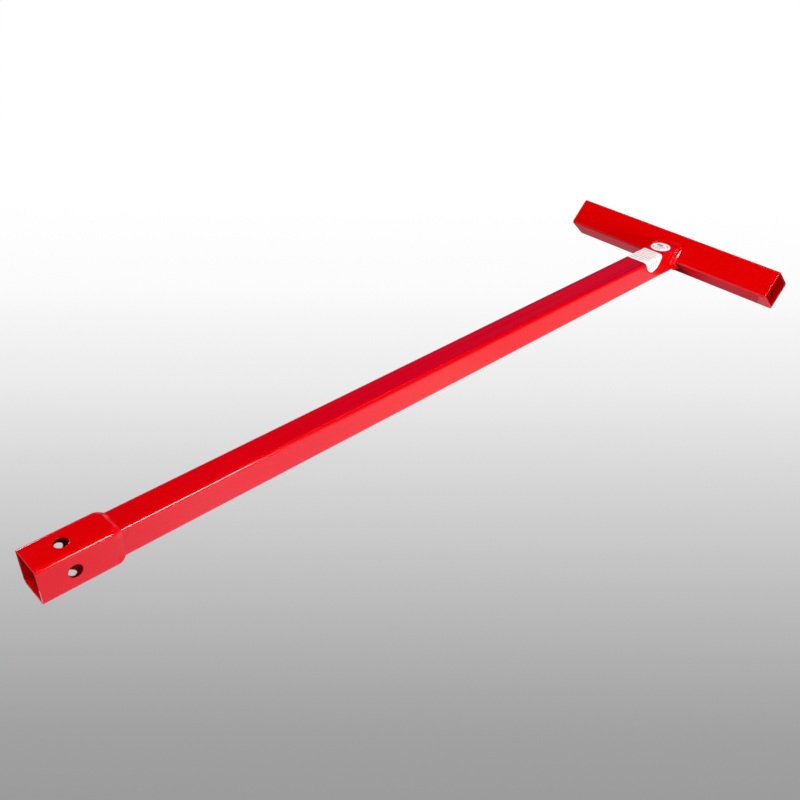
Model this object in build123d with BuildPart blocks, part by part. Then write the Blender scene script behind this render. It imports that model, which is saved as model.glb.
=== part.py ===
from build123d import *
import os

# A welded T-handle bar in square steel tube. A short square socket at one end
# takes the next section of bar, and cross-drilled holes take its pin. The long
# shaft is welded into the socket at one end, and is notched over the corner of
# a cross handle at the other.
#
# The origin is where the two pin bores cross, on the centreline of the bar.
# +X runs along the shaft to the handle, +Y along the handle, and +Z is up.

inch = 25.4
wall = 3.05  # 11 gauge tube

# Socket: the next section slides in from -X
socket_size = 1.5 * inch
socket_radius = 4.5
socket_length = 2.8125 * inch
pin_station = 1.25 * inch  # mouth to the middle of the pin bores
pin_bore = 13.0  # clears a half inch pin
rim_radius = 0.5  # paint-rounded rims of the pin bores
dressed_length = 3.4  # the far end is ground back for welding, most at its corners
dressed_size = 36.0
dressed_radius = 8.0

# Shaft
shaft_size = 1.25 * inch
shaft_radius = 4.0
shaft_insertion = 1.0 * inch  # how far the shaft reaches into the socket

# Handle: a square tube turned so that its corners point up, down, fore and aft
handle_size = 1.5 * inch
handle_radius = 3.5
handle_length = 12.0 * inch
mouth_to_handle = 36.0 * inch

end_radius = 0.4  # sawn tube ends, dressed and painted

# Weld beads
neck_weld_length = 6.6  # along the shaft, from the socket's end
neck_weld_toe = 0.3  # thickness where the bead runs out
handle_weld_leg = 6.0  # side beads
handle_weld_root = 3.0  # how far the side beads reach around the shaft's corners
handle_weld_wrap = 1.0  # how far they stand above the shaft's top and bottom
top_weld_leg = 5.0

# Stickers, both on the shaft near the handle
sticker_thickness = 0.2
sticker_radius = 0.5 * inch
sticker_to_handle = 31.9  # its middle to the handle's middle
sticker_offset = 0.7
label_width = 1.5 * inch
label_to_handle = 68.7
label_far_edge = 13.7
label_drop = 17.9  # how far its rounded end hangs below the shaft's top face

# Places along the bar that follow from these
mouth_x = -pin_station
socket_end_x = mouth_x + socket_length
shaft_start_x = socket_end_x - shaft_insertion
handle_x = mouth_x + mouth_to_handle
side = shaft_size / 2
diagonal = 2**0.5
notch_x = handle_x - handle_size / 2 * diagonal + side  # top face meets handle
top_weld_rise = top_weld_leg / diagonal  # the handle's face slopes at 45 degrees

os.makedirs("parts", exist_ok=True)


# Outlines that several pieces share: the outer skins of the shaft and handle
with BuildSketch(Plane.YZ) as shaft_outline:
    RectangleRounded(shaft_size, shaft_size, shaft_radius)

with BuildSketch(Plane.XZ) as handle_outline:
    with Locations((handle_x, 0)):
        RectangleRounded(handle_size, handle_size, handle_radius, rotation=45)


# Socket tube, dressed at its far end, and cross-drilled from the top and side
with BuildPart() as socket_tube:
    with BuildSketch(Plane.YZ.offset(mouth_x)):
        RectangleRounded(socket_size, socket_size, socket_radius)
    extrude(amount=socket_length - dressed_length)
    with BuildSketch(Plane.YZ.offset(socket_end_x - dressed_length)):
        RectangleRounded(socket_size, socket_size, socket_radius)
    with BuildSketch(Plane.YZ.offset(socket_end_x)):
        RectangleRounded(dressed_size, dressed_size, dressed_radius)
    loft()
    with BuildSketch(Plane.YZ.offset(mouth_x)):
        RectangleRounded(
            socket_size - 2 * wall,
            socket_size - 2 * wall,
            socket_radius - wall,
        )
    extrude(amount=socket_length, mode=Mode.SUBTRACT)
    fillet(socket_tube.faces().sort_by(Axis.X)[0].edges(), end_radius)
    for bore_plane in (Plane.XY, Plane.XZ):
        with BuildSketch(bore_plane):
            Circle(pin_bore / 2)
        extrude(amount=socket_size, both=True, mode=Mode.SUBTRACT)
    for bore_axis in (Axis.Y, Axis.Z):
        for end in (0, -1):
            outer_face = socket_tube.faces().filter_by(bore_axis).sort_by(bore_axis)[end]
            fillet(outer_face.inner_wires().edges(), rim_radius)
socket_tube.part.label = "socket_tube"
export_step(socket_tube.part, "parts/socket_tube.step")


# Shaft tube, with its far end notched to sit on the handle's front corner
with BuildPart() as shaft_tube:
    with BuildSketch(Plane.YZ.offset(shaft_start_x)):
        RectangleRounded(shaft_size, shaft_size, shaft_radius)
        RectangleRounded(
            shaft_size - 2 * wall,
            shaft_size - 2 * wall,
            shaft_radius - wall,
            mode=Mode.SUBTRACT,
        )
    extrude(amount=handle_x - shaft_start_x)
    extrude(handle_outline.sketch, amount=shaft_size, both=True, mode=Mode.SUBTRACT)
shaft_tube.part.label = "shaft_tube"
export_step(shaft_tube.part, "parts/shaft_tube.step")


# Handle tube, open at both ends
with BuildPart() as handle_tube:
    extrude(handle_outline.sketch, amount=handle_length / 2, both=True)
    with BuildSketch(Plane.XZ):
        with Locations((handle_x, 0)):
            RectangleRounded(
                handle_size - 2 * wall,
                handle_size - 2 * wall,
                handle_radius - wall,
                rotation=45,
            )
    extrude(amount=handle_length / 2, both=True, mode=Mode.SUBTRACT)
    tube_ends = handle_tube.faces().filter_by(Plane.XZ)
    fillet(tube_ends.edges(), end_radius)
handle_tube.part.label = "handle_tube"
export_step(handle_tube.part, "parts/handle_tube.step")


# Neck weld: one run along each side of the shaft, filling the step down from
# the socket's dressed end. The four runs meet on the shaft's corners.
neck_sides = {"top": 0, "right": 90, "bottom": 180, "left": 270}
for side_name, turn in neck_sides.items():
    with BuildPart() as neck_weld:
        with BuildSketch(Plane.YZ.offset(socket_end_x - dressed_length)):
            RectangleRounded(socket_size, socket_size, socket_radius)
        with BuildSketch(Plane.YZ.offset(socket_end_x + neck_weld_length)):
            RectangleRounded(
                shaft_size + 2 * neck_weld_toe,
                shaft_size + 2 * neck_weld_toe,
                shaft_radius + neck_weld_toe,
            )
        loft()
        extrude(
            shaft_outline.sketch,
            amount=socket_end_x + neck_weld_length,
            mode=Mode.SUBTRACT,
        )
        add(socket_tube.part, mode=Mode.SUBTRACT)
        with BuildSketch(Plane.YZ.offset(mouth_x)):
            Polygon(
                (0, 0),
                (socket_size, socket_size),
                (-socket_size, socket_size),
                rotation=turn,
                align=None,
            )
        extrude(amount=mouth_to_handle, mode=Mode.INTERSECT)
    neck_weld.part.label = f"neck_weld_{side_name}"
    export_step(neck_weld.part, f"parts/neck_weld_{side_name}.step")


# Handle weld, right side: a fillet bead that follows the notch down the side of
# the shaft, over the handle's front corner
with BuildPart() as handle_weld_right:
    with BuildSketch(Plane.XZ.offset(side)) as bead_outline:
        with Locations((handle_x, 0)):
            RectangleRounded(
                handle_size + 2 * handle_weld_leg,
                handle_size + 2 * handle_weld_leg,
                handle_radius + handle_weld_leg,
                rotation=45,
            )
            Rectangle(
                handle_size,
                shaft_size + 2 * handle_weld_wrap,
                align=(Align.MAX, Align.CENTER),
                mode=Mode.INTERSECT,
            )
    extrude(amount=handle_weld_leg, taper=45)
    extrude(bead_outline.sketch, amount=-handle_weld_root)
    extrude(shaft_outline.sketch, amount=handle_x, mode=Mode.SUBTRACT)
    extrude(handle_outline.sketch, amount=handle_size, mode=Mode.SUBTRACT)
handle_weld_right.part.label = "handle_weld_right"
export_step(handle_weld_right.part, "parts/handle_weld_right.step")

# The left side has the same bead
with BuildPart() as handle_weld_left:
    mirror(handle_weld_right.part, about=Plane.XZ)
handle_weld_left.part.label = "handle_weld_left"
export_step(handle_weld_left.part, "parts/handle_weld_left.step")


# Handle weld, top: fills the open angle between the shaft's top face and the
# handle, and ends against the side beads
with BuildPart() as handle_weld_top:
    with BuildSketch(Plane.XZ):
        Polygon(
            (notch_x - top_weld_leg, side),
            (notch_x + top_weld_rise, side + top_weld_rise),
            (notch_x + top_weld_rise, side - handle_weld_wrap),
            (notch_x - top_weld_leg, side - handle_weld_wrap),
            align=None,
        )
    extrude(amount=side - handle_weld_root, both=True)
    extrude(shaft_outline.sketch, amount=handle_x, mode=Mode.SUBTRACT)
    extrude(handle_outline.sketch, amount=shaft_size, both=True, mode=Mode.SUBTRACT)
handle_weld_top.part.label = "handle_weld_top"
export_step(handle_weld_top.part, "parts/handle_weld_top.step")

# The bottom has the same fill
with BuildPart() as handle_weld_bottom:
    mirror(handle_weld_top.part, about=Plane.XY)
handle_weld_bottom.part.label = "handle_weld_bottom"
export_step(handle_weld_bottom.part, "parts/handle_weld_bottom.step")


# Round sticker, laid on the shaft's top face and just over its edges
with BuildPart() as round_sticker:
    with BuildSketch(Plane.YZ.offset(handle_x - sticker_to_handle - sticker_radius)):
        RectangleRounded(
            shaft_size + 2 * sticker_thickness,
            shaft_size + 2 * sticker_thickness,
            shaft_radius + sticker_thickness,
        )
    extrude(amount=2 * sticker_radius)
    with BuildSketch(Plane.XY):
        with Locations((handle_x - sticker_to_handle, sticker_offset)):
            Circle(sticker_radius)
    extrude(amount=shaft_size, mode=Mode.INTERSECT)
    extrude(shaft_outline.sketch, amount=handle_x, mode=Mode.SUBTRACT)
round_sticker.part.label = "round_sticker"
export_step(round_sticker.part, "parts/round_sticker.step")


# Wrap label: square end on the top face, round end down the shaft's right side.
# Its outline is drawn looking along the diagonal of the shaft's section, where
# both faces show at 45 degrees, and a semicircle makes the round end.
label_end_radius = label_width / 2
label_tip = -label_drop / diagonal
label_top = (side + label_far_edge) / diagonal
corner_view = Plane(
    origin=(handle_x - label_to_handle, 0, 0),
    x_dir=(1, 0, 0),
    z_dir=(0, -1, 1),
)
with BuildPart() as wrap_label:
    with BuildSketch(Plane.YZ.offset(handle_x - label_to_handle - label_width / 2)):
        RectangleRounded(
            shaft_size + 2 * sticker_thickness,
            shaft_size + 2 * sticker_thickness,
            shaft_radius + sticker_thickness,
        )
    extrude(amount=label_width)
    with BuildSketch(corner_view):
        with Locations((0, label_tip + label_end_radius)):
            Circle(label_end_radius)
            Rectangle(
                label_width,
                label_top - label_tip - label_end_radius,
                align=(Align.CENTER, Align.MIN),
            )
    extrude(amount=shaft_size, mode=Mode.INTERSECT)
    extrude(shaft_outline.sketch, amount=handle_x, mode=Mode.SUBTRACT)
wrap_label.part.label = "wrap_label"
export_step(wrap_label.part, "parts/wrap_label.step")
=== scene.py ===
import math

import bpy
from mathutils import Matrix, Vector, noise


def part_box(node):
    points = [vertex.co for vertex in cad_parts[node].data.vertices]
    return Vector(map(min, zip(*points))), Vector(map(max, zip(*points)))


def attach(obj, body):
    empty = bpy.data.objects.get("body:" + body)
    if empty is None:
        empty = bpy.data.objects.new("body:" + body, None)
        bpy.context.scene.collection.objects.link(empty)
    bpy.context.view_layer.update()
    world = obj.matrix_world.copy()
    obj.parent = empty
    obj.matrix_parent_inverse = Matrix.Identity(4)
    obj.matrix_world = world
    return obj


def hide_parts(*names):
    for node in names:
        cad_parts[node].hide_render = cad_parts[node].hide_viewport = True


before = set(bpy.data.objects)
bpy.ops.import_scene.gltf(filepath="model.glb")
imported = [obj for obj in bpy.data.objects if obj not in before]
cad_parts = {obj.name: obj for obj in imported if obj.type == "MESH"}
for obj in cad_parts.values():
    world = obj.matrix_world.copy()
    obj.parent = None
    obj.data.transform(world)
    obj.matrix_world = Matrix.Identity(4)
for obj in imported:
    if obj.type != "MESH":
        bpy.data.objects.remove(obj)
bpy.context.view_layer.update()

# The looks of a welded T-handle bar: gloss red enamel on square steel tube, weld
# beads with their ripples, and two printed stickers. Lengths are in metres.

MM = 0.001

# Sizes read from the frame
socket_low, socket_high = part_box("socket_tube")
shaft_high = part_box("shaft_tube")[1]
handle_low, handle_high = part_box("handle_tube")
sticker_low, sticker_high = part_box("round_sticker")
label_low, label_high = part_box("wrap_label")
socket_half = socket_high.z
shaft_half = shaft_high.z
socket_end = socket_high.x
handle_x = (handle_low.x + handle_high.x) / 2

# Corner radii of the three tubes, which a box can't give
SOCKET_RADIUS = 4.5 * MM
SHAFT_RADIUS = 4.0 * MM
HANDLE_RADIUS = 3.5 * MM
handle_half = (handle_high.z + HANDLE_RADIUS * (math.sqrt(2) - 1)) / math.sqrt(2)

SIDES = ("top", "right", "bottom", "left")


# ---------------------------------------------------------------- node helpers

def new_material(name):
    """A material with a Principled shader, and a short way to add nodes to it."""
    material = bpy.data.materials.new(name)
    material.use_nodes = True
    tree = material.node_tree
    shader = tree.nodes["Principled BSDF"]

    def add(kind, inputs=None, **settings):
        node = tree.nodes.new(kind)
        for key, value in settings.items():
            setattr(node, key, value)
        for key, value in (inputs or {}).items():
            if isinstance(value, bpy.types.NodeSocket):
                tree.links.new(value, node.inputs[key])
            else:
                node.inputs[key].default_value = value
        return node

    return material, tree, shader, add


def position(add, stretch=(1, 1, 1)):
    """Coordinates in the part's own frame, in metres, stretched for streaky noise."""
    here = add("ShaderNodeTexCoord").outputs["Object"]
    return add("ShaderNodeMapping", {"Vector": here, "Scale": stretch}).outputs["Vector"]


def noise_value(add, vector, per_metre, detail=2.0, roughness=0.5):
    """Smooth noise from 0 to 1 with about per_metre cells in a metre."""
    node = add(
        "ShaderNodeTexNoise",
        {"Vector": vector, "Scale": per_metre, "Detail": detail, "Roughness": roughness},
    )
    return node.outputs["Fac"]


def spread(add, value, low, high, from_low=0.3, from_high=0.7):
    """Maps a value onto the range from low to high, and holds it at the ends. Most of
    a noise lies between 0.3 and 0.7."""
    node = add(
        "ShaderNodeMapRange",
        {
            "Value": value,
            "From Min": from_low,
            "From Max": from_high,
            "To Min": low,
            "To Max": high,
        },
    )
    return node.outputs["Result"]


def maths(add, operation, *values):
    """One maths node, fed by sockets or plain numbers."""
    node = add("ShaderNodeMath", operation=operation)
    for socket, value in zip(node.inputs, values):
        if isinstance(value, bpy.types.NodeSocket):
            node.id_data.links.new(value, socket)
        else:
            socket.default_value = value
    return node.outputs["Value"]


def cover(add, mask, under, over):
    """One colour laid over another where the mask is 1."""
    mix = add("ShaderNodeMix", {"Factor": mask, "A": under, "B": over}, data_type="RGBA")
    return mix.outputs["Result"]


def axes_of(add):
    """The three coordinates of a point in the part's own frame."""
    return add("ShaderNodeSeparateXYZ", {"Vector": position(add)}).outputs


def bump(add, height, depth, under=None):
    """Surface relief of a given depth in metres, on top of another relief."""
    inputs = {"Height": height, "Distance": depth, "Strength": 1.0}
    if under is not None:
        inputs["Normal"] = under
    return add("ShaderNodeBump", inputs).outputs["Normal"]


# ------------------------------------------------------------------- materials

ENAMEL_DEEP = (0.46, 0.0, 0.0005, 1)
ENAMEL_BRIGHT = (0.53, 0.0, 0.0003, 1)
CRIMSON_SHADE = (0.30, 0.0, 0.012, 1)  # painted shade and a painted bluish reflection, as crimson streaks on the shaft's top
INSIDE_SHADE = (0.14, 0.0, 0.0005, 1)  # painted shade inside the tubes and their holes, and on the socket's unlit rims
CREASE_SHADE = (0.06, 0.0, 0.004, 1)  # painted shadow beside the handle's weld, and painted shade on the back of its sawn ends

# How glossy the paint is, as a Specular IOR Level
FULL_GLOSS = 0.5
NECK_GLOSS = 0.36
THIN_GLOSS = 0.06

# Noise cells in a metre
TONE_CELLS = 9
HAZE_CELLS = 60
STREAK_CELLS = 190
ROLLED_CELLS = 55
PEEL_CELLS = 420

# Noise is drawn out along a tube
DRAWN_OUT_X = (0.12, 1, 1)
DRAWN_OUT_Y = (1, 0.12, 1)
STREAKS_X = (0.012, 1, 1)
EVEN = (1, 1, 1)

# Relief depths
ROLLED_DEPTH = 0.05 * MM
PEEL_DEPTH = 0.0016 * MM
WELD_PEEL_DEPTH = 0.004 * MM


def enamel(
    name,
    stretch,
    peel_depth,
    dull_and_shade=None,
    shade_colour=INSIDE_SHADE,
    thin_roughness=0.45,
    streaky=None,
    gloss=FULL_GLOSS,
):
    """Gloss red enamel over rolled steel, whose marks are drawn out by stretch.
    The mask that follows peel_depth is 1 where the paint is less glossy and takes a second
    colour, which on the tubes is a painted shade; streaky(add) is 1 where the crimson
    streaks of painted shade and reflection are strong."""
    material, tree, shader, add = new_material(name)
    plain = position(add)
    along = position(add, stretch)
    tone = noise_value(add, plain, TONE_CELLS, detail=3)
    colour = cover(add, spread(add, tone, 0.45, 0.75), ENAMEL_DEEP, ENAMEL_BRIGHT)
    haze = noise_value(add, along, HAZE_CELLS, detail=4)
    rough = spread(add, haze, 0.10, 0.17)
    shader.inputs["Specular IOR Level"].default_value = gloss
    # Crimson streaks on the shaft's top are a painted shade and bluish reflection
    if streaky is not None:
        lines = noise_value(add, position(add, STREAKS_X), STREAK_CELLS, detail=2)
        streaks = spread(add, lines, 0.0, 0.75, 0.42, 0.62)
        streaks = maths(add, "MULTIPLY", streaks, streaky(add))
        colour = cover(add, streaks, colour, CRIMSON_SHADE)
    # Where the mask is 1 the paint is duller, and on the tubes its colour turns to a
    # painted shade
    if dull_and_shade is not None:
        mask = dull_and_shade(add)
        colour = cover(add, mask, colour, shade_colour)
        dull = maths(add, "MULTIPLY", mask, thin_roughness)
        rough = maths(add, "MAXIMUM", rough, dull)
        less_gloss = spread(add, mask, gloss, THIN_GLOSS, 0.0, 1.0)
        tree.links.new(less_gloss, shader.inputs["Specular IOR Level"])
    tree.links.new(colour, shader.inputs["Base Color"])
    tree.links.new(rough, shader.inputs["Roughness"])
    rolled = bump(add, noise_value(add, along, ROLLED_CELLS, detail=2), ROLLED_DEPTH)
    peel = bump(add, noise_value(add, plain, PEEL_CELLS, detail=1), peel_depth, rolled)
    tree.links.new(peel, shader.inputs["Normal"])
    shader.inputs["IOR"].default_value = 1.5
    return material


FILM_PALE = (0.82, 0.74, 0.70, 1)
FILM_GREY = (0.74, 0.66, 0.62, 1)
FIBRE_CELLS = 300
WRINKLE_CELLS = 160
WRINKLE_DEPTH = 0.03 * MM


def film(name, graphic):
    """Printed white film. graphic(add, u, v) gives each ink and where it covers."""
    material, tree, shader, add = new_material(name)
    uv = add("ShaderNodeUVMap", uv_map="print")
    axes = add("ShaderNodeSeparateXYZ", {"Vector": uv.outputs["UV"]}).outputs
    fibres = noise_value(add, position(add), FIBRE_CELLS, detail=2)
    paper = cover(add, spread(add, fibres, 0, 1), FILM_GREY, FILM_PALE)
    for ink, mask in graphic(add, axes["X"], axes["Y"]):
        paper = cover(add, mask, paper, ink)
    tree.links.new(paper, shader.inputs["Base Color"])
    wrinkle = noise_value(add, position(add), WRINKLE_CELLS, detail=1)
    tree.links.new(bump(add, wrinkle, WRINKLE_DEPTH), shader.inputs["Normal"])
    shader.inputs["Roughness"].default_value = 0.38
    return material


def band(add, value, middle, width, soft=0.15):
    """1 where value is within half the width of the middle, and 0 outside, with a
    soft edge."""
    distance = maths(add, "ABSOLUTE", maths(add, "SUBTRACT", value, middle))
    return spread(add, distance, 0.0, 1.0, width / 2 + soft, width / 2 - soft)


def bar(add, u, v, centre, size):
    """A filled rectangle of print, in millimetres on the film."""
    across = band(add, u, centre[0], size[0])
    along = band(add, v, centre[1], size[1])
    return maths(add, "MULTIPLY", across, along)


STROKES_PER_MM = 0.9


def dashes(add, u, v, centre, size, seed):
    """A row of uneven strokes that stands for a line of small print."""
    row = seed * 7.3  # rows this far apart in the noise have nothing in common
    place = add("ShaderNodeCombineXYZ", {"X": u, "Y": row}).outputs["Vector"]
    strokes = noise_value(add, place, STROKES_PER_MM, detail=1)
    broken = spread(add, strokes, 0.25, 0.9, 0.42, 0.54)
    return maths(add, "MULTIPLY", bar(add, u, v, centre, size), broken)


INK_BLUE = (0.07, 0.13, 0.34, 1)
INK_RED = (0.62, 0.09, 0.12, 1)
INK_MAUVE = (0.46, 0.12, 0.32, 1)
INK_GREEN = (0.20, 0.31, 0.24, 1)
INK_GREY = (0.20, 0.21, 0.22, 1)

# The sticker's rows of print: height, length and thickness in millimetres, and ink
STICKER_ROWS = (
    (0.9, 12.0, 2.0, INK_MAUVE),
    (-1.9, 13.0, 1.6, INK_MAUVE),
    (-4.6, 10.0, 1.2, INK_RED),
    (-6.9, 7.0, 1.0, INK_GREY),
)
RING_RADIUS = 9.2
RING_WIDTH = 2.4
RING_TICKS = 5.5  # noise cells in a radian
RING_SIDES = 13.0  # the ring shows on two sides, within this band across it
BAR_PLACE = (3.4, 4.2)
BAR_SIZE = (8.6, 3.8)

# The label's rows of print, from its far edge to its near one, in millimetres
LABEL_INKS = (INK_RED, INK_GREEN, INK_RED, INK_GREY, INK_RED, INK_MAUVE, INK_GREEN)
LABEL_FIRST_ROW = 14.4
LABEL_ROW_PITCH = 4.8
LABEL_ROW_THICKNESS = 1.7
LABEL_MARGIN = 3.0
LABEL_LONGEST_ROW = 38.0
LABEL_ROUNDING = 0.09  # how fast rows get shorter away from the middle, per millimetre
LABEL_SIDE_PLACE = 38.0  # the middle of the rows' darker part, down the side
LABEL_SIDE_LENGTH = 10.0
LABEL_SIDE_COVER = 0.55


def sticker_print(add, u, v):
    """A broken ring, a bar and rows of small print. u runs to the left along the
    handle and v towards it, from the middle, in millimetres."""
    squares = maths(add, "ADD", maths(add, "MULTIPLY", u, u), maths(add, "MULTIPLY", v, v))
    radius = maths(add, "SQRT", squares)
    ring = band(add, radius, RING_RADIUS, RING_WIDTH, 0.3)
    angle = maths(add, "ARCTAN2", v, u)
    around = add("ShaderNodeCombineXYZ", {"X": angle}).outputs["Vector"]
    ticks = noise_value(add, around, RING_TICKS, detail=1)
    broken = spread(add, ticks, 0.35, 0.9, 0.45, 0.52)
    sides = band(add, maths(add, "ADD", u, v), 0.0, RING_SIDES, 2.0)
    letters = maths(add, "MULTIPLY", maths(add, "MULTIPLY", ring, broken), sides)
    marks = [(INK_GREEN, letters), (INK_BLUE, bar(add, u, v, BAR_PLACE, BAR_SIZE))]
    for number, (height, length, thickness, ink) in enumerate(STICKER_ROWS):
        size = (length, thickness)
        marks.append((ink, dashes(add, u, v, (0.0, height), size, number + 1)))
    return marks


def label_print(add, u, v):
    """Lines of small print that run from the label's square end over the corner, and
    are darker there. u runs along the shaft from the middle, and v from the square
    end, in millimetres."""
    marks = []
    for number, ink in enumerate(LABEL_INKS):
        place = LABEL_FIRST_ROW - LABEL_ROW_PITCH * number
        length = LABEL_LONGEST_ROW - LABEL_ROUNDING * place * place
        centre = (LABEL_MARGIN + length / 2, place)
        size = (length, LABEL_ROW_THICKNESS)
        marks.append((ink, dashes(add, v, u, centre, size, number + 11)))
        side_place = (LABEL_SIDE_PLACE, place)
        side_size = (LABEL_SIDE_LENGTH, LABEL_ROW_THICKNESS)
        down_side = bar(add, v, u, side_place, side_size)
        marks.append((ink, maths(add, "MULTIPLY", down_side, LABEL_SIDE_COVER)))
    return marks


def depth_in_tube(add, first, second, half, radius):
    """The size of the rounded square that a point lies on, from its place along the
    tube's two sides. It is half on the tube's skin, and less inside."""
    straight = half - radius

    def past_straight(place):
        past = maths(add, "SUBTRACT", maths(add, "ABSOLUTE", place), straight)
        past = maths(add, "MAXIMUM", past, 0.0)
        return maths(add, "MULTIPLY", past, past)

    squares = maths(add, "ADD", past_straight(first), past_straight(second))
    return maths(add, "ADD", maths(add, "SQRT", squares), straight)


def socket_shade(add):
    """Painted shade on the socket's inner walls, more of it deeper in than at the mouth,
    and on the walls of its holes. On its sawn end, painted shade on the left and lower
    rims."""
    axes = axes_of(add)
    mouth = socket_low.x
    size = depth_in_tube(add, axes["Y"], axes["Z"], socket_half, SOCKET_RADIUS)
    below = spread(add, size, 1.0, 0.0, socket_half - 0.35 * MM, socket_half - 0.15 * MM)
    deep = spread(add, axes["X"], 0.0, 1.0, mouth + 2 * MM, mouth + 20 * MM)
    walls = maths(add, "MULTIPLY", below, deep)
    inner_half = socket_half - 3.5 * MM
    left = spread(add, axes["Y"], 0.2, 0.95, inner_half, inner_half + 1 * MM)
    lower = spread(add, axes["Z"], 0.95, 0.2, -inner_half - 1 * MM, -inner_half)
    on_end = spread(add, axes["X"], 1.0, 0.0, mouth + 0.1 * MM, mouth + 0.3 * MM)
    rim = maths(add, "MULTIPLY", maths(add, "MAXIMUM", left, lower), on_end)
    return maths(add, "MAXIMUM", walls, rim)


def shaft_shade_in_socket(add):
    """The part of the shaft that is in the socket, where it gets painted shade."""
    axes = axes_of(add)
    return spread(add, axes["X"], 1.0, 0.0, socket_end - 5.0 * MM, socket_end - 3.0 * MM)


STREAKS_START, STREAKS_FULL = 0.15, 0.60  # metres along X


def streak_shade_to_label(add):
    """Painted shade and a painted bluish reflection on the shaft's top, as crimson streaks
    that get stronger from its near end to the label.
    """
    axes = axes_of(add)
    along = spread(add, axes["X"], 0.15, 1.0, STREAKS_START, STREAKS_FULL)
    before = spread(add, axes["X"], 1.0, 0.1, label_low.x, label_high.x)
    on_top = spread(add, axes["Z"], 0.0, 1.0, shaft_half - 2.5 * MM, shaft_half - 0.5 * MM)
    along = maths(add, "MULTIPLY", along, before)
    return maths(add, "MULTIPLY", along, on_top)


def handle_shade(add):
    """Painted shadow on the handle's lower front face, close to the shaft on either side,
    and painted shade on the back of its sawn ends."""
    axes = axes_of(add)
    along = maths(add, "ABSOLUTE", axes["Y"])
    close = spread(add, along, 1.0, 0.0, shaft_half + 4.0 * MM, shaft_half + 20.0 * MM)
    below = spread(add, axes["Z"], 1.0, 0.0, -3.0 * MM, -0.5 * MM)
    in_front = spread(add, axes["X"], 1.0, 0.0, handle_x - 6.0 * MM, handle_x)
    joint = maths(add, "MULTIPLY", maths(add, "MULTIPLY", close, below), in_front)
    end = handle_high.y
    on_end = spread(add, along, 0.0, 1.0, end - 0.3 * MM, end - 0.1 * MM)
    behind = spread(add, axes["X"], 0.0, 0.9, handle_x - 3.0 * MM, handle_x + 3.0 * MM)
    return maths(add, "MAXIMUM", joint, maths(add, "MULTIPLY", on_end, behind))


def where_flush(add):
    """The handle's weld where it lies flush, above and below the shaft, is duller."""
    axes = axes_of(add)
    off_middle = maths(add, "ABSOLUTE", axes["Z"])
    return spread(add, off_middle, 0.0, 1.0, shaft_half - 1.5 * MM, shaft_half)


paint_socket = enamel("enamel_socket", DRAWN_OUT_X, PEEL_DEPTH, socket_shade)
paint_shaft = enamel(
    "enamel_shaft", DRAWN_OUT_X, PEEL_DEPTH, shaft_shade_in_socket, streaky=streak_shade_to_label
)
paint_handle = enamel(
    "enamel_handle", DRAWN_OUT_Y, PEEL_DEPTH, handle_shade, CREASE_SHADE
)
paint_on_weld = enamel(
    "enamel_weld", EVEN, WELD_PEEL_DEPTH, where_flush, ENAMEL_DEEP, thin_roughness=0.1
)
paint_on_neck = enamel("enamel_neck_weld", EVEN, WELD_PEEL_DEPTH, gloss=NECK_GLOSS)


def dress(node, material):
    """Gives a carried-over CAD node its material."""
    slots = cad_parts[node].data.materials
    slots.clear()
    slots.append(material)


dress("socket_tube", paint_socket)
dress("shaft_tube", paint_shaft)
dress("handle_tube", paint_handle)


# ----------------------------------------------------------------- mesh helpers

def new_piece(name, points, faces, material):
    """A smooth-shaded object from a list of points and faces."""
    mesh = bpy.data.meshes.new(name)
    mesh.from_pydata([tuple(point) for point in points], [], faces)
    mesh.validate()
    mesh.materials.append(material)
    for polygon in mesh.polygons:
        polygon.use_smooth = True
    piece = bpy.data.objects.new(name, mesh)
    bpy.context.scene.collection.objects.link(piece)
    return piece


def ring_outline(half, radius, side, share):
    """A point on a rounded square's outline about the X axis, and its outward
    direction. share runs from -1 to 1, from corner to corner of one side."""
    flat = (half - radius) / (half - radius + radius * math.pi / 4)
    if abs(share) <= flat:
        across = share / flat * (half - radius)
        point = Vector((0, -across, half))
        outward = Vector((0, 0, 1))
    else:
        angle = math.copysign((abs(share) - flat) / (1 - flat) * math.pi / 4, share)
        outward = Vector((0, -math.sin(angle), math.cos(angle)))
        corner = Vector((0, -math.copysign(half - radius, share), half - radius))
        point = corner + outward * radius
    turn = Matrix.Rotation(SIDES.index(side) * math.pi / 2, 3, "X")
    return turn @ point, turn @ outward


CRISP_ANGLE = math.radians(70)


def swept(name, sections, material):
    """A closed mesh through a row of closed sections, capped at both ends. Its edges
    stay crisp where its hidden faces meet the seen ones."""
    count = len(sections[0])
    points = [point for section in sections for point in section]
    faces = []
    for row in range(len(sections) - 1):
        for column in range(count):
            here = row * count + column
            beside = row * count + (column + 1) % count
            faces.append((here, beside, beside + count, here + count))
    faces.append(tuple(reversed(range(count))))
    last = (len(sections) - 1) * count
    faces.append(tuple(range(last, last + count)))
    piece = new_piece(name, points, faces, material)
    modifier = piece.modifiers.new("crisp_root", "EDGE_SPLIT")
    modifier.split_angle = CRISP_ANGLE
    return piece


# ------------------------------------------------------------------ weld ripple

def ripple(distance, across, pitch, seed):
    """Height from 0 to 1 of a weld's overlapping scales, at a distance along the
    bead and from -1 to 1 across it. Each scale is a crescent, and no two are equal."""
    wander = noise.noise(Vector((distance / pitch * 0.45, seed, 0))) * 0.9
    phase = distance / pitch + wander - 0.55 * across * across
    scale = phase - math.floor(phase)
    return (1 - scale) ** 0.8 * min(1.0, scale * 6)


def plump(share):
    """A bulge from 0 up to 1 and back, as share runs from 0 to 1, with a broad top."""
    return 1 - (1 - math.sin(math.pi * share)) ** 2.4


def blobs(distance, across, pitch, seed):
    """Height from 0 to 1 of a lumpier run, whose scales have broad rounded backs."""
    wander = noise.noise(Vector((distance / pitch * 0.6, seed, 0))) * 1.3
    phase = distance / pitch + wander - 0.4 * across * across
    scale = phase - math.floor(phase)
    return plump(scale)


# -------------------------------------------------------------------- neck weld

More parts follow.
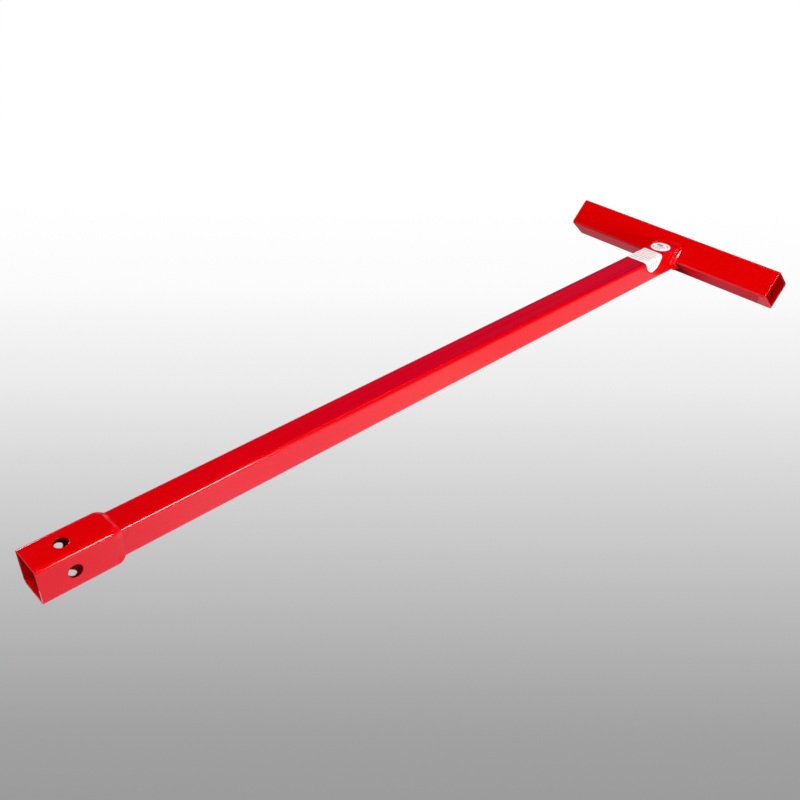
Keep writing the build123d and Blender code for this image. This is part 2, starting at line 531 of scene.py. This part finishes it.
RUN_STATIONS = 140
SECTION_STEPS = 28
NECK_PITCH = 2.6 * MM
NECK_WAVES = 0.08 * MM
NECK_BACK = 3.7 * MM  # it starts this far before the socket's end, where that is dressed
NECK_FRONT = 6.3 * MM  # and runs out about this far after it
NECK_UNEVEN_PITCH = 9 * MM
NECK_BURIED = 0.3 * MM  # its hidden edges are inside the tubes
side_length = 2 * (shaft_half - SHAFT_RADIUS) + SHAFT_RADIUS * math.pi / 2


def smooth_step(value, low, high):
    """0 below low and 1 above high, with an S curve between them."""
    share = min(1.0, max(0.0, (value - low) / (high - low)))
    return share * share * (3 - 2 * share)


def neck_section(side, share):
    """One section through the neck weld, from the socket down to the shaft. On the
    top and bottom it carries on level from the socket's skin and then slopes down to
    its toe. On the sides and corners it falls away from the start."""
    foot, outward = ring_outline(shaft_half, SHAFT_RADIUS, side, share)
    crest, _ = ring_outline(socket_half, SOCKET_RADIUS, side, share)
    corner = smooth_step(abs(share), 0.50, 0.92)
    distance = (SIDES.index(side) + (share + 1) / 2) * side_length
    uneven = noise.noise(Vector((distance / NECK_UNEVEN_PITCH, 3.1, 0)))
    front = NECK_FRONT + (0.35 * uneven - 0.2 * corner) * MM
    if side in ("top", "bottom"):
        level, fall = 0.58 + 0.06 * share, 1.05
    else:
        level, fall = 0.0, 1.08
    level *= 1 - corner
    corner_fall = 2.05 - 0.45 * outward.z
    fall += (corner_fall - fall) * corner
    section = []
    for step in range(SECTION_STEPS + 1):
        t = step / SECTION_STEPS
        along = socket_end - NECK_BACK + (NECK_BACK + front) * t
        height = 1 - (max(0.0, t - level) / (1 - level)) ** fall
        # It starts just under the socket's skin, and soon stands just over it
        skin = (0.10 * min(1.0, t * 8) - 0.05) * MM
        scales = ripple(distance, 2 * t - 1, NECK_PITCH, 5.0)
        waves = NECK_WAVES * scales * math.sin(math.pi * t) ** 2
        point = foot + (crest - foot) * height + outward * (skin + waves)
        section.append(Vector((along, point.y, point.z)))
    buried = foot - outward * NECK_BURIED
    section.append(Vector((socket_end + front, buried.y, buried.z)))
    section.append(Vector((socket_end + 0.2 * MM, buried.y, buried.z)))
    deep = foot + (crest - foot) * 0.75
    section.append(Vector((socket_end - NECK_BACK, deep.y, deep.z)))
    return section


def shares():
    """Places along one side's run, from corner to corner."""
    return [2 * step / RUN_STATIONS - 1 for step in range(RUN_STATIONS + 1)]


for side in SIDES:
    sections = [neck_section(side, share) for share in shares()]
    run = swept(f"neck_bead_{side}", sections, paint_on_neck)
    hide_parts(f"neck_weld_{side}")
    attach(run, "root")


# ------------------------------------------------------------------ handle weld

HANDLE_PITCH = 5.2 * MM
HANDLE_UNEVEN_PITCH = 7 * MM
HANDLE_BURIED = 0.8 * MM
SHAFT_PASS = (0.0, 9.0)  # where each pass starts, and its seed
HANDLE_PASS = (3.4 * MM, 14.0)
corner_reach = (handle_half - HANDLE_RADIUS) * math.sqrt(2)


def handle_front(height):
    """Where the handle's front is at a height, and the direction that it faces."""
    tangent = HANDLE_RADIUS / math.sqrt(2)
    if abs(height) < tangent:
        depth = math.sqrt(HANDLE_RADIUS**2 - height**2)
        facing = Vector((-depth, 0, height)).normalized()
        return handle_x - corner_reach - depth, facing
    facing = Vector((-1, 0, math.copysign(1, height))).normalized()
    return handle_x - handle_half * math.sqrt(2) + abs(height), facing


def handle_section(side, share):
    """One section through the handle weld, from the shaft over to the handle. On the
    shaft's sides it was laid in two passes, one against each tube."""
    foot, outward = ring_outline(shaft_half, SHAFT_RADIUS, side, share)
    x, facing = handle_front(foot.z)
    root = Vector((x, foot.y, foot.z))
    on_shaft = (facing - outward * facing.dot(outward)).normalized()
    on_handle = (outward - facing * outward.dot(facing)).normalized()
    middle = (outward + facing).normalized()
    # 0 where the faces meet at 45 degrees, over the shaft, and 1 where they are square
    square = 1 - outward.dot(facing) / math.sqrt(0.5)
    square = min(1.0, max(0.0, square))
    distance = (SIDES.index(side) + (share + 1) / 2) * side_length
    uneven = noise.noise(Vector((distance / HANDLE_UNEVEN_PITCH, 8.7, 0)))
    leg = (3.3 + 2.6 * square + 0.7 * uneven) * MM
    flatness = 2.0 + 0.1 * square
    section = []
    for step in range(SECTION_STEPS + 1):
        t = step / SECTION_STEPS
        angle = t * math.pi / 2
        first = math.cos(angle) ** flatness if step < SECTION_STEPS else 0.0
        second = math.sin(angle) ** flatness
        in_handle_pass = t >= 0.5
        across = 2 * t - 1 if in_handle_pass else 2 * t
        start, seed = HANDLE_PASS if in_handle_pass else SHAFT_PASS
        crown = plump(across)
        lumps = blobs(distance - start, 2 * across - 1, HANDLE_PITCH, seed)
        waves = (0.03 + square * (0.30 + 0.75 * lumps)) * crown * MM
        point = root + on_shaft * leg * first + on_handle * leg * second + middle * waves
        section.append(point)
    section.append(root + on_handle * leg - facing * HANDLE_BURIED)
    section.append(root - middle * 1.6 * HANDLE_BURIED)
    section.append(root + on_shaft * leg - outward * HANDLE_BURIED)
    return section


for side in SIDES:
    sections = [handle_section(side, share) for share in shares()]
    run = swept(f"handle_bead_{side}", sections, paint_on_weld)
    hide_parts(f"handle_weld_{side}")
    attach(run, "root")


# --------------------------------------------------------------------- stickers

FILM_THICKNESS = 0.16 * MM
FILM_UNDER = -0.05 * MM  # its underside, just inside the paint
FILM_EDGE_DROP = 0.55 * FILM_THICKNESS
flat_half = shaft_half - SHAFT_RADIUS
quarter_turn = SHAFT_RADIUS * math.pi / 2


def on_shaft_skin(x, reach, lift):
    """A point on the shaft's skin. reach is measured over the surface, from the
    middle of the top face, and is positive towards the right side."""
    sign = math.copysign(1, reach)
    reach = abs(reach)
    if reach <= flat_half:
        y, z = reach, shaft_half + lift
    elif reach <= flat_half + quarter_turn:
        angle = (reach - flat_half) / SHAFT_RADIUS
        y = flat_half + (SHAFT_RADIUS + lift) * math.sin(angle)
        z = flat_half + (SHAFT_RADIUS + lift) * math.cos(angle)
    else:
        y = shaft_half + lift
        z = flat_half - (reach - flat_half - quarter_turn)
    return Vector((x, -sign * y, z))


def film_piece(name, rows, material):
    """A thin film from a grid of (x, reach, u, v), where u and v are places in its
    print. Its edge is rolled down onto the skin."""
    height = len(rows)
    width = len(rows[0])
    points, marks, faces = [], [], []
    for layer, lift in enumerate((FILM_THICKNESS, FILM_UNDER)):
        for r, row in enumerate(rows):
            for c, (x, reach, u, v) in enumerate(row):
                on_edge = r in (0, height - 1) or c in (0, width - 1)
                drop = FILM_EDGE_DROP if on_edge and layer == 0 else 0.0
                points.append(on_shaft_skin(x, reach, lift - drop))
                marks.append((u, v))
    layer_size = height * width
    for r in range(height - 1):
        for c in range(width - 1):
            a = r * width + c
            quad = (a, a + width, a + width + 1, a + 1)
            faces.append(quad)
            faces.append(tuple(layer_size + index for index in reversed(quad)))
    rim = list(range(width))
    rim += [r * width + width - 1 for r in range(1, height)]
    rim += [(height - 1) * width + c for c in range(width - 2, -1, -1)]
    rim += [r * width for r in range(height - 2, 0, -1)]
    for a, b in zip(rim, rim[1:] + rim[:1]):
        faces.append((a, b, b + layer_size, a + layer_size))
    piece = new_piece(name, points, faces, material)
    layer = piece.data.uv_layers.new(name="print")
    for loop in piece.data.loops:
        layer.data[loop.index].uv = marks[loop.vertex_index]
    return piece


def disc_grid(centre_x, centre_reach, radius, count=48):
    """A square grid squeezed into a disc."""
    rows = []
    for i in range(count + 1):
        row = []
        for j in range(count + 1):
            a = 2 * i / count - 1
            b = 2 * j / count - 1
            u = a * math.sqrt(1 - b * b / 2)
            v = b * math.sqrt(1 - a * a / 2)
            place = (centre_x + radius * u, centre_reach + radius * v)
            row.append((*place, -radius * v / MM, radius * u / MM))
        rows.append(row)
    return rows


sticker_x = (sticker_low.x + sticker_high.x) / 2
sticker_reach = -(sticker_low.y + sticker_high.y) / 2
sticker_radius = (sticker_high.x - sticker_low.x) / 2
sticker = film_piece(
    "round_sticker_film",
    disc_grid(sticker_x, sticker_reach, sticker_radius),
    film("sticker_film", sticker_print),
)
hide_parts("round_sticker")
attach(sticker, "root")


def label_grid(rows_count=90, columns=44, corner=3.0 * MM, narrowest=0.25 * MM):
    """Rows from the label's square end on the top face to its round end on the
    right side. Seen along the shaft's diagonal, the round end is a semicircle."""
    middle = (label_low.x + label_high.x) / 2
    half_width = (label_high.x - label_low.x) / 2
    far_angle = math.asin((label_high.y - flat_half) / SHAFT_RADIUS)
    start = -(flat_half + SHAFT_RADIUS * far_angle)
    end = flat_half + quarter_turn + flat_half - label_low.z
    tip = (label_low.z - shaft_half) / math.sqrt(2)
    rows = []
    for r in range(rows_count + 1):
        share = r / rows_count
        reach = start + (end - start) * math.sin(share * math.pi / 2)
        skin = on_shaft_skin(0, reach, 0)
        seen = (skin.y + skin.z) / math.sqrt(2)
        below = max(0.0, tip + half_width - seen)
        half = math.sqrt(max(0.0, half_width**2 - below**2))
        half = max(half, narrowest)
        from_start = reach - start
        if from_start < corner:
            half -= corner - math.sqrt(corner**2 - (corner - from_start) ** 2)
        row = []
        for c in range(columns + 1):
            side = 2 * c / columns - 1
            row.append((middle + half * side, reach, half * side / MM, from_start / MM))
        rows.append(row)
    return rows


label = film_piece("wrap_label_film", label_grid(), film("label_film", label_print))
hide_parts("wrap_label")
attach(label, "root")


# ------------------------------------------------------------------------ stage

CAMERA_PLACE = Vector((-0.1819, -0.6120, 0.5633))
CAMERA_HEADING = math.radians(47.42)  # from +X towards +Y
CAMERA_PITCH = math.radians(34.775)  # below the horizon
CAMERA_ROLL = math.radians(0.378)
CAMERA_SENSOR = 36  # mm
CAMERA_LENS = 42.455  # mm


def make_camera():
    """The camera, at the photograph's viewing angle."""
    data = bpy.data.cameras.new("camera")
    data.sensor_width = CAMERA_SENSOR
    data.lens = CAMERA_LENS
    data.clip_start = 1 * MM
    camera = bpy.data.objects.new("camera", data)
    bpy.context.scene.collection.objects.link(camera)
    heading = Matrix.Rotation(CAMERA_HEADING - math.pi / 2, 4, "Z")
    pitch = Matrix.Rotation(math.pi / 2 - CAMERA_PITCH, 4, "X")
    roll = Matrix.Rotation(CAMERA_ROLL, 4, "Z")
    camera.matrix_world = Matrix.Translation(CAMERA_PLACE) @ heading @ pitch @ roll
    bpy.context.scene.camera = camera


def colour_ramp(ramp, stops, low=0.0, high=1.0):
    """Sets a ramp's stops from (place, grey or colour), with places from low to high."""
    elements = ramp.color_ramp.elements
    for number, (place, value) in enumerate(stops):
        share = (place - low) / (high - low)
        element = elements[number] if number < 2 else elements.new(share)
        element.position = share
        colour = value if isinstance(value, tuple) else (value, value, value)
        element.color = (*colour, 1)


SWEEP_HEADING = math.radians(47.4)  # the sweep runs from front to back this way
# Its greys, at distances in metres from the origin
SWEEP_STOPS = (
    (-4.57, 0.95),
    (-3.2, 0.86),
    (-2.2, 0.70),
    (-1.4, 0.50),
    (-0.8, 0.36),
    (-0.32, 0.275),
    (-0.15, 0.353),
    (0.05, 0.58),
    (0.29, 0.825),
    (0.53, 0.965),
    (0.81, 1.0),
)
SWEEP_NEAR, SWEEP_FAR = -4.57, 3.43
FLOOR_BASE = 0.002


def only_glows(shader, base):
    """Turns off all of a shader but its emission, and a base of a given grey."""
    shader.inputs["Base Color"].default_value = (base, base, base, 1)
    shader.inputs["Emission Strength"].default_value = 1.0
    shader.inputs["Roughness"].default_value = 1.0
    shader.inputs["Specular IOR Level"].default_value = 0.0


def floor_material():
    """A pale sweep that glows evenly, so that it takes hardly any shadow. It is dark
    in front of the bar, and gets pale again far in front."""
    material, tree, shader, add = new_material("floor")
    here = add("ShaderNodeNewGeometry").outputs["Position"]
    direction = (math.cos(SWEEP_HEADING), math.sin(SWEEP_HEADING), 0)
    away = add(
        "ShaderNodeVectorMath", {0: here, 1: direction}, operation="DOT_PRODUCT"
    ).outputs["Value"]
    share = spread(add, away, 0.0, 1.0, SWEEP_NEAR, SWEEP_FAR)
    ramp = add("ShaderNodeValToRGB", {"Fac": share})
    colour_ramp(ramp, SWEEP_STOPS, SWEEP_NEAR, SWEEP_FAR)
    tree.links.new(ramp.outputs["Color"], shader.inputs["Emission Color"])
    only_glows(shader, FLOOR_BASE)
    return material


GAP_UNDER_BAR = 0.1 * MM


def lay_down(name, low, high, material, lift=0.0):
    """A flat sheet under the bar. The bar rests on the handle's lower corner and on
    the socket, so the sheet slopes by a fraction of a degree."""
    corners = ((low[0], low[1]), (high[0], low[1]), (high[0], high[1]), (low[0], high[1]))
    slope = (socket_low.z - handle_low.z) / (handle_x - socket_low.x)
    under_handle = handle_low.z - GAP_UNDER_BAR + lift
    points = [(x, y, under_handle + slope * (handle_x - x)) for x, y in corners]
    sheet = new_piece(name, points, [(0, 1, 2, 3)], material)
    return sheet


def make_floor():
    """The floor, which reaches past the backdrop all round."""
    lay_down("floor", (-30.0, -30.0), (30.0, 30.0), floor_material())


def glow(name, colour):
    """A plain glowing material of one colour, or with a ramp of colours along X."""
    material, tree, shader, add = new_material(name)
    if isinstance(colour[0], tuple):
        low, high = colour[0][0], colour[-1][0]
        here = add("ShaderNodeTexCoord").outputs["Object"]
        along = add("ShaderNodeSeparateXYZ", {"Vector": here}).outputs["X"]
        share = spread(add, along, 0.0, 1.0, low, high)
        ramp = add("ShaderNodeValToRGB", {"Fac": share})
        colour_ramp(ramp, colour, low, high)
        tree.links.new(ramp.outputs["Color"], shader.inputs["Emission Color"])
    else:
        shader.inputs["Emission Color"].default_value = (*colour, 1)
    only_glows(shader, 0.0)
    return material


# The colours of the cards under the bar, at places in metres along X. The near card's dark
# stretch from 0.862 m on is a painted shadow under the handle, seen in the gloss.
NEAR_CARD = (
    (-0.2, (0.58, 0.58, 0.80)),
    (0.0, (0.62, 0.65, 0.91)),
    (0.072, (0.80, 0.83, 1.13)),
    (0.14, (0.95, 1.03, 1.37)),
    (0.225, (0.92, 0.90, 1.22)),
    (0.34, (0.98, 0.96, 1.15)),
    (0.45, (1.0, 1.0, 1.05)),
    (0.56, (0.68, 0.66, 0.76)),
    (0.845, (0.66, 0.64, 0.73)),
    (0.862, (0.12, 0.11, 0.155)),
    (0.91, (0.11, 0.10, 0.14)),
    (1.2, (0.50, 0.50, 0.60)),
)
FAR_CARD = (
    (-0.2, (0.16, 0.12, 0.17)),
    (-0.02, (0.10, 0.08, 0.10)),
    (0.1, (0.06, 0.045, 0.06)),
    (0.82, (0.06, 0.045, 0.06)),
    (0.85, (0.23, 0.21, 0.25)),
    (0.91, (0.20, 0.19, 0.22)),
    (1.2, (0.50, 0.50, 0.60)),
)
CARD_LIFT = 0.10 * MM  # how high the small cards lie above the floor
CARD_GAP = 0.01 * MM
END_CARD = ((0.840, (0.40, 0.38, 0.40)), (0.93, (0.20, 0.17, 0.19)))

# Cards stacked under the joint, a painted contact shadow seen only in the gloss, go from
# the first colours to the second
JOINT_SHADOW_CARDS = 8
JOINT_EDGE_Y, JOINT_CORE_Y = -0.070, -0.036
JOINT_PLACES = (0.848, 0.862, 0.93)
JOINT_EDGE = ((0.54, 0.53, 0.60), (0.11, 0.10, 0.14), (0.11, 0.10, 0.14))
JOINT_CORE = ((0.30, 0.29, 0.34), (0.02, 0.01, 0.03), (0.02, 0.01, 0.03))


def make_bounce_card(name, near_y, far_y, colours, lift=0.05 * MM):
    """A card under the bar that shows only in the bar's gloss."""
    low, high = colours[0][0], colours[-1][0]
    card = lay_down(name, (low, near_y), (high, far_y), glow(name, colours), lift)
    card.visible_camera = False
    card.visible_diffuse = False
    card.visible_shadow = False


def make_bounce_cards():
    """The near card is bluish white along the shaft, the far one is a black flag, and both
    are dark at the handle, a painted shadow under it. The small ones on top make it
    lighter at the handle's right end, and darker step by step towards the joint, a painted
    contact shadow there."""
    make_bounce_card("near_card", -0.5, 0.0, NEAR_CARD)
    make_bounce_card("far_card", 0.0, 0.5, FAR_CARD)
    make_bounce_card("end_card", -0.30, -0.134, END_CARD, CARD_LIFT)
    for number in range(JOINT_SHADOW_CARDS):
        inwards = number / (JOINT_SHADOW_CARDS - 1)
        colours = [
            (place, tuple(Vector(edge).lerp(Vector(core), inwards)))
            for place, edge, core in zip(JOINT_PLACES, JOINT_EDGE, JOINT_CORE)
        ]
        near_y = JOINT_EDGE_Y + (JOINT_CORE_Y - JOINT_EDGE_Y) * inwards
        lift = CARD_LIFT + CARD_GAP * number
        make_bounce_card(f"joint_shadow_card_{number}", near_y, 0.0, colours, lift)


def make_backdrop():
    """A white wall all round, far off, that closes the view above the floor."""
    radius, top, count = 28.0, 30.0, 96
    points, faces = [], []
    for number in range(count):
        angle = 2 * math.pi * number / count
        for height in (-1.0, top):
            points.append((radius * math.cos(angle), radius * math.sin(angle), height))
        here, beside = 2 * number, 2 * ((number + 1) % count)
        faces.append((here, here + 1, beside + 1, beside))
    wall = new_piece("backdrop", points, faces, glow("backdrop", (1.0, 1.0, 1.0)))
    wall.visible_glossy = False
    wall.visible_diffuse = False
    wall.visible_shadow = False


# The room's colours, from the horizon at 0 up towards straight overhead at 1
ROOM = (
    (0.0, (0.30, 0.28, 0.34)),
    (0.25, (0.16, 0.14, 0.26)),
    (0.42, (0.07, 0.045, 0.19)),
    (0.50, (0.05, 0.032, 0.19)),
    (0.56, (0.03, 0.006, 0.15)),
    (0.64, (0.0, 0.0, 0.0)),
)


def make_world():
    """What the gloss sees above the floor: a dim, bluish room with a dark ceiling."""
    world = bpy.data.worlds.new("studio")
    bpy.context.scene.world = world
    world.use_nodes = True
    tree = world.node_tree
    coordinates = tree.nodes.new("ShaderNodeTexCoord")
    axes = tree.nodes.new("ShaderNodeSeparateXYZ")
    ramp = tree.nodes.new("ShaderNodeValToRGB")
    colour_ramp(ramp, ROOM)
    tree.links.new(coordinates.outputs["Generated"], axes.inputs["Vector"])
    tree.links.new(axes.outputs["Z"], ramp.inputs["Fac"])
    tree.links.new(ramp.outputs["Color"], tree.nodes["Background"].inputs["Color"])


def soft_box(name, place, target, size, radiance, seen_by):
    """A rectangular light, seen only by the bar's diffuse shading or only by its
    gloss. Its radiance is how bright it looks next to white."""
    data = bpy.data.lights.new(name, "AREA")
    data.shape = "RECTANGLE"
    data.size, data.size_y = size
    data.energy = radiance * math.pi * size[0] * size[1]
    light = bpy.data.objects.new(name, data)
    bpy.context.scene.collection.objects.link(light)
    light.location = place
    aim = Vector(target) - Vector(place)
    light.rotation_euler = aim.to_track_quat("-Z", "Y").to_euler()
    light.visible_camera = False
    light.visible_diffuse = seen_by == "diffuse"
    light.visible_glossy = seen_by == "gloss"


def make_lights():
    """Each row is a light's name, place, target, size, radiance, and what sees it."""
    boxes = (
        ("low_box", (0.57, -1.20, 0.09), (0.57, 0, 0), (0.80, 0.20), 43, "diffuse"),
        ("low_box_gloss", (0.49, -0.97, 0.76), (0.50, 0, 0), (0.45, 0.34), 27, "gloss"),
        ("far_box_gloss", (0.0, 1.60, 0.60), (0.4, 0, 0), (0.70, 0.40), 12, "gloss"),
        ("high_box", (-0.15, -0.10, 1.50), (0.1, 0, 0), (0.60, 0.60), 20.5, "diffuse"),
        ("back_box", (1.25, 0.35, 1.38), (0.8, 0, 0), (0.70, 0.70), 11, "diffuse"),
        ("mouth_box", (-0.55, -0.05, 0.06), (-0.03, 0, 0), (0.30, 0.14), 31, "diffuse"),
    )
    for name, place, target, size, radiance, seen_by in boxes:
        soft_box(name, place, target, size, radiance, seen_by)


make_camera()
make_floor()
make_bounce_cards()
make_backdrop()
make_world()
make_lights()
bpy.context.scene.view_settings.view_transform = "Standard"
